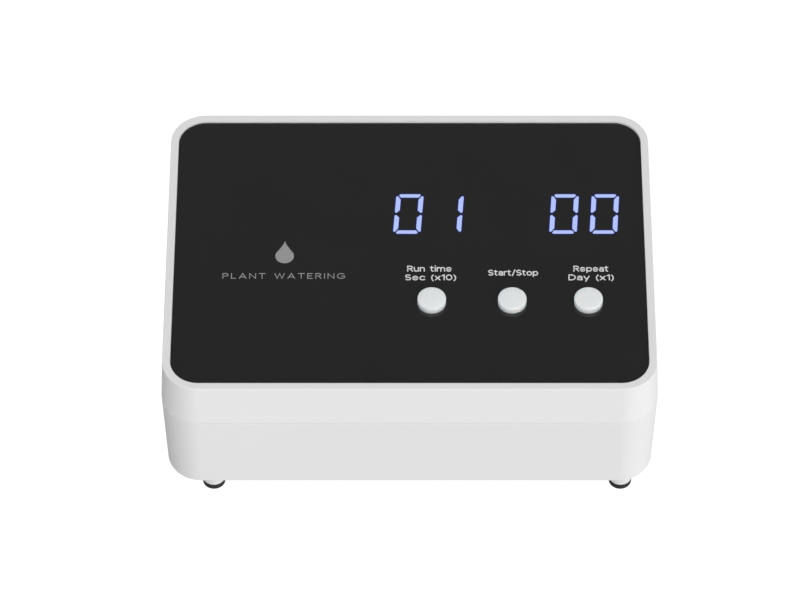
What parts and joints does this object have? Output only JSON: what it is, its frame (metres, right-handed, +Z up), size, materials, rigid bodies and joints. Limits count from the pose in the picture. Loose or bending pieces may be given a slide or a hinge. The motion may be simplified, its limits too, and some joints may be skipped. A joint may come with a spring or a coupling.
{
  "type": "irrigation controller",
  "caption": "Table-top watering timer with a digit display, push buttons and a built-in pump that drives water from an inlet barb to an outlet barb.",
  "frame": {"origin": "bottom centre of the whole object's box, on the surface the feet stand on", "axes": "+Z up, front of the case towards -Y, hose barbs towards +Y, +X to the right as seen from the front"},
  "size_m": [0.1348, 0.1092, 0.0496],
  "materials": {
    "white_plastic": "moulded white plastic, fine satin texture",
    "panel_black": "smoked black acrylic sheet with a satin hard coat",
    "foot_rubber": "matte black rubber",
    "board_green": "green solder mask on glass fibre",
    "steel": "plated steel",
    "black_plastic": "moulded black plastic",
    "grey_plastic": "moulded grey plastic",
    "cell_jacket": "printed shrink sleeve on a steel can",
    "magnet_grey": "sintered ferrite",
    "copper": "laminated steel with enamelled copper winding",
    "silicone": "translucent silicone",
    "lead_jacket": "twin lead with plastic insulation",
    "digit_light": "lit display segments behind the smoked panel",
    "panel_print": "grey screen print on the panel"
  },
  "bodies": {
    "case": {"upper_shell": "white_plastic", "lower_shell": "white_plastic", "inlet_barb": "white_plastic", "outlet_barb": "white_plastic", "front_panel": "panel_black", "foot_pad_front_left": "foot_rubber", "foot_pad_front_right": "foot_rubber", "foot_pad_rear_left": "foot_rubber", "foot_pad_rear_right": "foot_rubber", "control_board": "board_green", "usb_c_receptacle": "steel", "radio_module": "steel", "run_time_switch": "steel", "start_stop_switch": "steel", "interval_switch": "steel", "board_screw_left": "steel", "board_screw_right": "steel", "contact_positive": "steel", "contact_negative": "steel", "contact_rear_link": "steel", "contact_front_left_link": "steel", "contact_front_right_link": "steel", "motor_can": "steel", "pump_screw_lower": "steel", "pump_screw_upper": "steel", "strap_screw_left": "steel", "strap_screw_right": "steel", "case_screw_front_left": "steel", "case_screw_front_right": "steel", "case_screw_rear_left": "steel", "case_screw_rear_right": "steel", "left_display": "black_plastic", "right_display": "black_plastic", "motor_end_bell": "black_plastic", "pump_housing": "black_plastic", "pump_head": "black_plastic", "battery_tray": "grey_plastic", "valve_plate": "grey_plastic", "pump_strap": "grey_plastic", "battery_cell_1": "cell_jacket", "battery_cell_2": "cell_jacket", "battery_cell_3": "cell_jacket", "battery_cell_4": "cell_jacket", "motor_magnet": "magnet_grey", "pump_diaphragm": "silicone", "inlet_hose": "silicone", "outlet_hose": "silicone", "motor_lead": "lead_jacket"},
    "run_time_key": {"run_time_button": "white_plastic", "run_time_plunger": "black_plastic"},
    "start_stop_key": {"start_stop_button": "white_plastic", "start_stop_plunger": "black_plastic"},
    "interval_key": {"interval_button": "white_plastic", "interval_plunger": "black_plastic"},
    "battery_cover": {"battery_door": "white_plastic"},
    "pump_rotor": {"motor_shaft": "steel", "motor_armature": "copper", "drive_hub": "black_plastic", "drive_pin": "steel"},
    "wobbler": {"wobble_plate": "grey_plastic"}
  },
  "joints": [
    {"name": "run_time_press", "type": "slide", "parent": "case", "child": "run_time_key", "axis": [0, 0, -1], "range_m": [0, 0.0005], "stiffness_N_per_m": 600, "springref_m": -0.001},
    {"name": "start_stop_press", "type": "slide", "parent": "case", "child": "start_stop_key", "axis": [0, 0, -1], "range_m": [0, 0.0005], "stiffness_N_per_m": 600, "springref_m": -0.001},
    {"name": "interval_press", "type": "slide", "parent": "case", "child": "interval_key", "axis": [0, 0, -1], "range_m": [0, 0.0005], "stiffness_N_per_m": 600, "springref_m": -0.001},
    {"name": "battery_cover_hinge", "type": "hinge", "parent": "case", "child": "battery_cover", "pos_m": [-0.0335, 0.0224, 0.0069], "axis": [1, 0, 0], "range_deg": [0, 95]},
    {"name": "rotor_spin", "type": "hinge", "parent": "case", "child": "pump_rotor", "pos_m": [0.033, -0.02545, 0.023], "axis": [0, 1, 0], "continuous": true},
    {"name": "wobble_turn", "type": "hinge", "parent": "pump_rotor", "child": "wobbler", "pos_m": [0.033, 0.00155, 0.023], "axis": [0, 0.9925, -0.1219], "continuous": true}
  ],
  "couplings": [
    {"joint": "wobble_turn", "follows": "rotor_spin", "ratio": -1}
  ]
}
